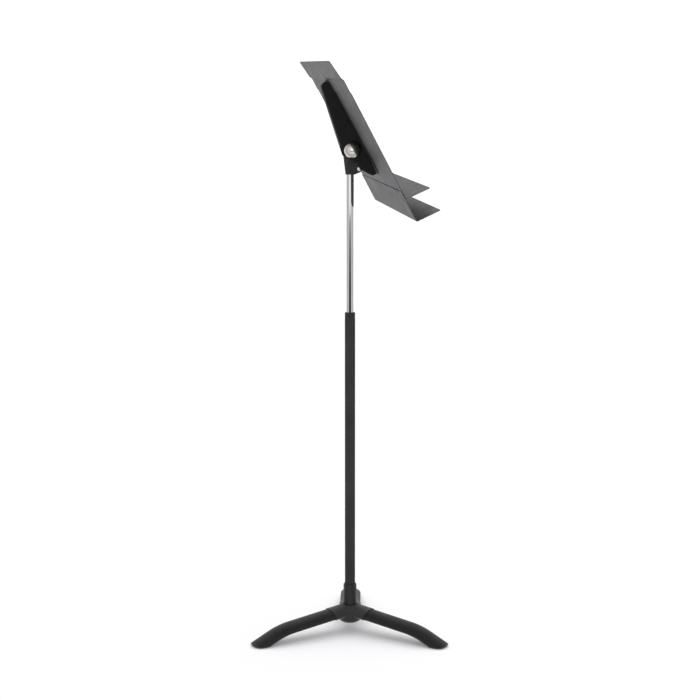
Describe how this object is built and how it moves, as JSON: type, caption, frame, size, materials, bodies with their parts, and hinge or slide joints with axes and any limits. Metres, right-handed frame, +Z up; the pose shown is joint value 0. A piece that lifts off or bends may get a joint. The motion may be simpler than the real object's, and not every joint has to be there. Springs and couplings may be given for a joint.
{
  "type": "music stand",
  "caption": "Floor music stand with a leaning bent-sheet desk and two shelves, a tilt pivot, a telescoping friction post and a three-legged base.",
  "frame": {"origin": "on the floor, on the axis of the post", "axes": "+Z up along the post; the desk faces -Y, towards the player, and is symmetric about the YZ plane; +X is to the right of someone who looks along +Y"},
  "size_m": [0.508, 0.4152, 1.2229],
  "materials": {
    "hub_paint": "black satin powder coat",
    "leg_paint": "black satin powder coat",
    "post_paint": "black satin powder coat",
    "bracket_paint": "black fine texture powder coat",
    "desk_paint": "black fine texture powder coat",
    "chrome": "bright chrome plate",
    "nickel": "polished nickel plate",
    "zinc_steel": "zinc plated",
    "black_plastic": "moulded, satin",
    "nylon": "natural nylon",
    "foot_rubber": "moulded, matt"
  },
  "bodies": {
    "base": {"base_hub": "hub_paint", "leg_right": "leg_paint", "leg_rear": "leg_paint", "leg_front": "leg_paint", "foot_right": "foot_rubber", "foot_rear": "foot_rubber", "foot_front": "foot_rubber", "leg_screws": "zinc_steel", "base_bolt": "zinc_steel", "base_washer": "zinc_steel", "tube_plug": "zinc_steel", "collar": "black_plastic", "outer_tube": "post_paint", "top_bush": "black_plastic", "friction_clutch": "nylon", "clutch_ring": "zinc_steel"},
    "guide": {"guide_bush": "nylon"},
    "post": {"inner_tube": "chrome", "bush_clips": "zinc_steel", "head_bracket": "post_paint", "head_rivet": "nickel", "friction_washers": "nylon", "pivot_spacer": "zinc_steel"},
    "desk": {"desk_panel": "desk_paint", "lower_shelf": "desk_paint", "desk_bracket": "bracket_paint", "bracket_rivets": "bracket_paint", "shelf_rivets": "desk_paint", "pivot_stud": "zinc_steel", "disc_springs": "zinc_steel", "dome_cap_left": "nickel", "dome_cap_right": "nickel"}
  },
  "joints": [
    {"name": "height_slide", "type": "slide", "parent": "base", "child": "guide", "axis": [0, 0, 1], "range_m": [-0.287, 0.218]},
    {"name": "post_spin", "type": "hinge", "parent": "guide", "child": "post", "pos_m": [0, 0, 0.36], "axis": [0, 0, 1], "continuous": true},
    {"name": "desk_tilt", "type": "hinge", "parent": "post", "child": "desk", "pos_m": [0, -0.0035, 1.0423], "axis": [-1, 0, 0], "range_deg": [-26, 62]}
  ]
}
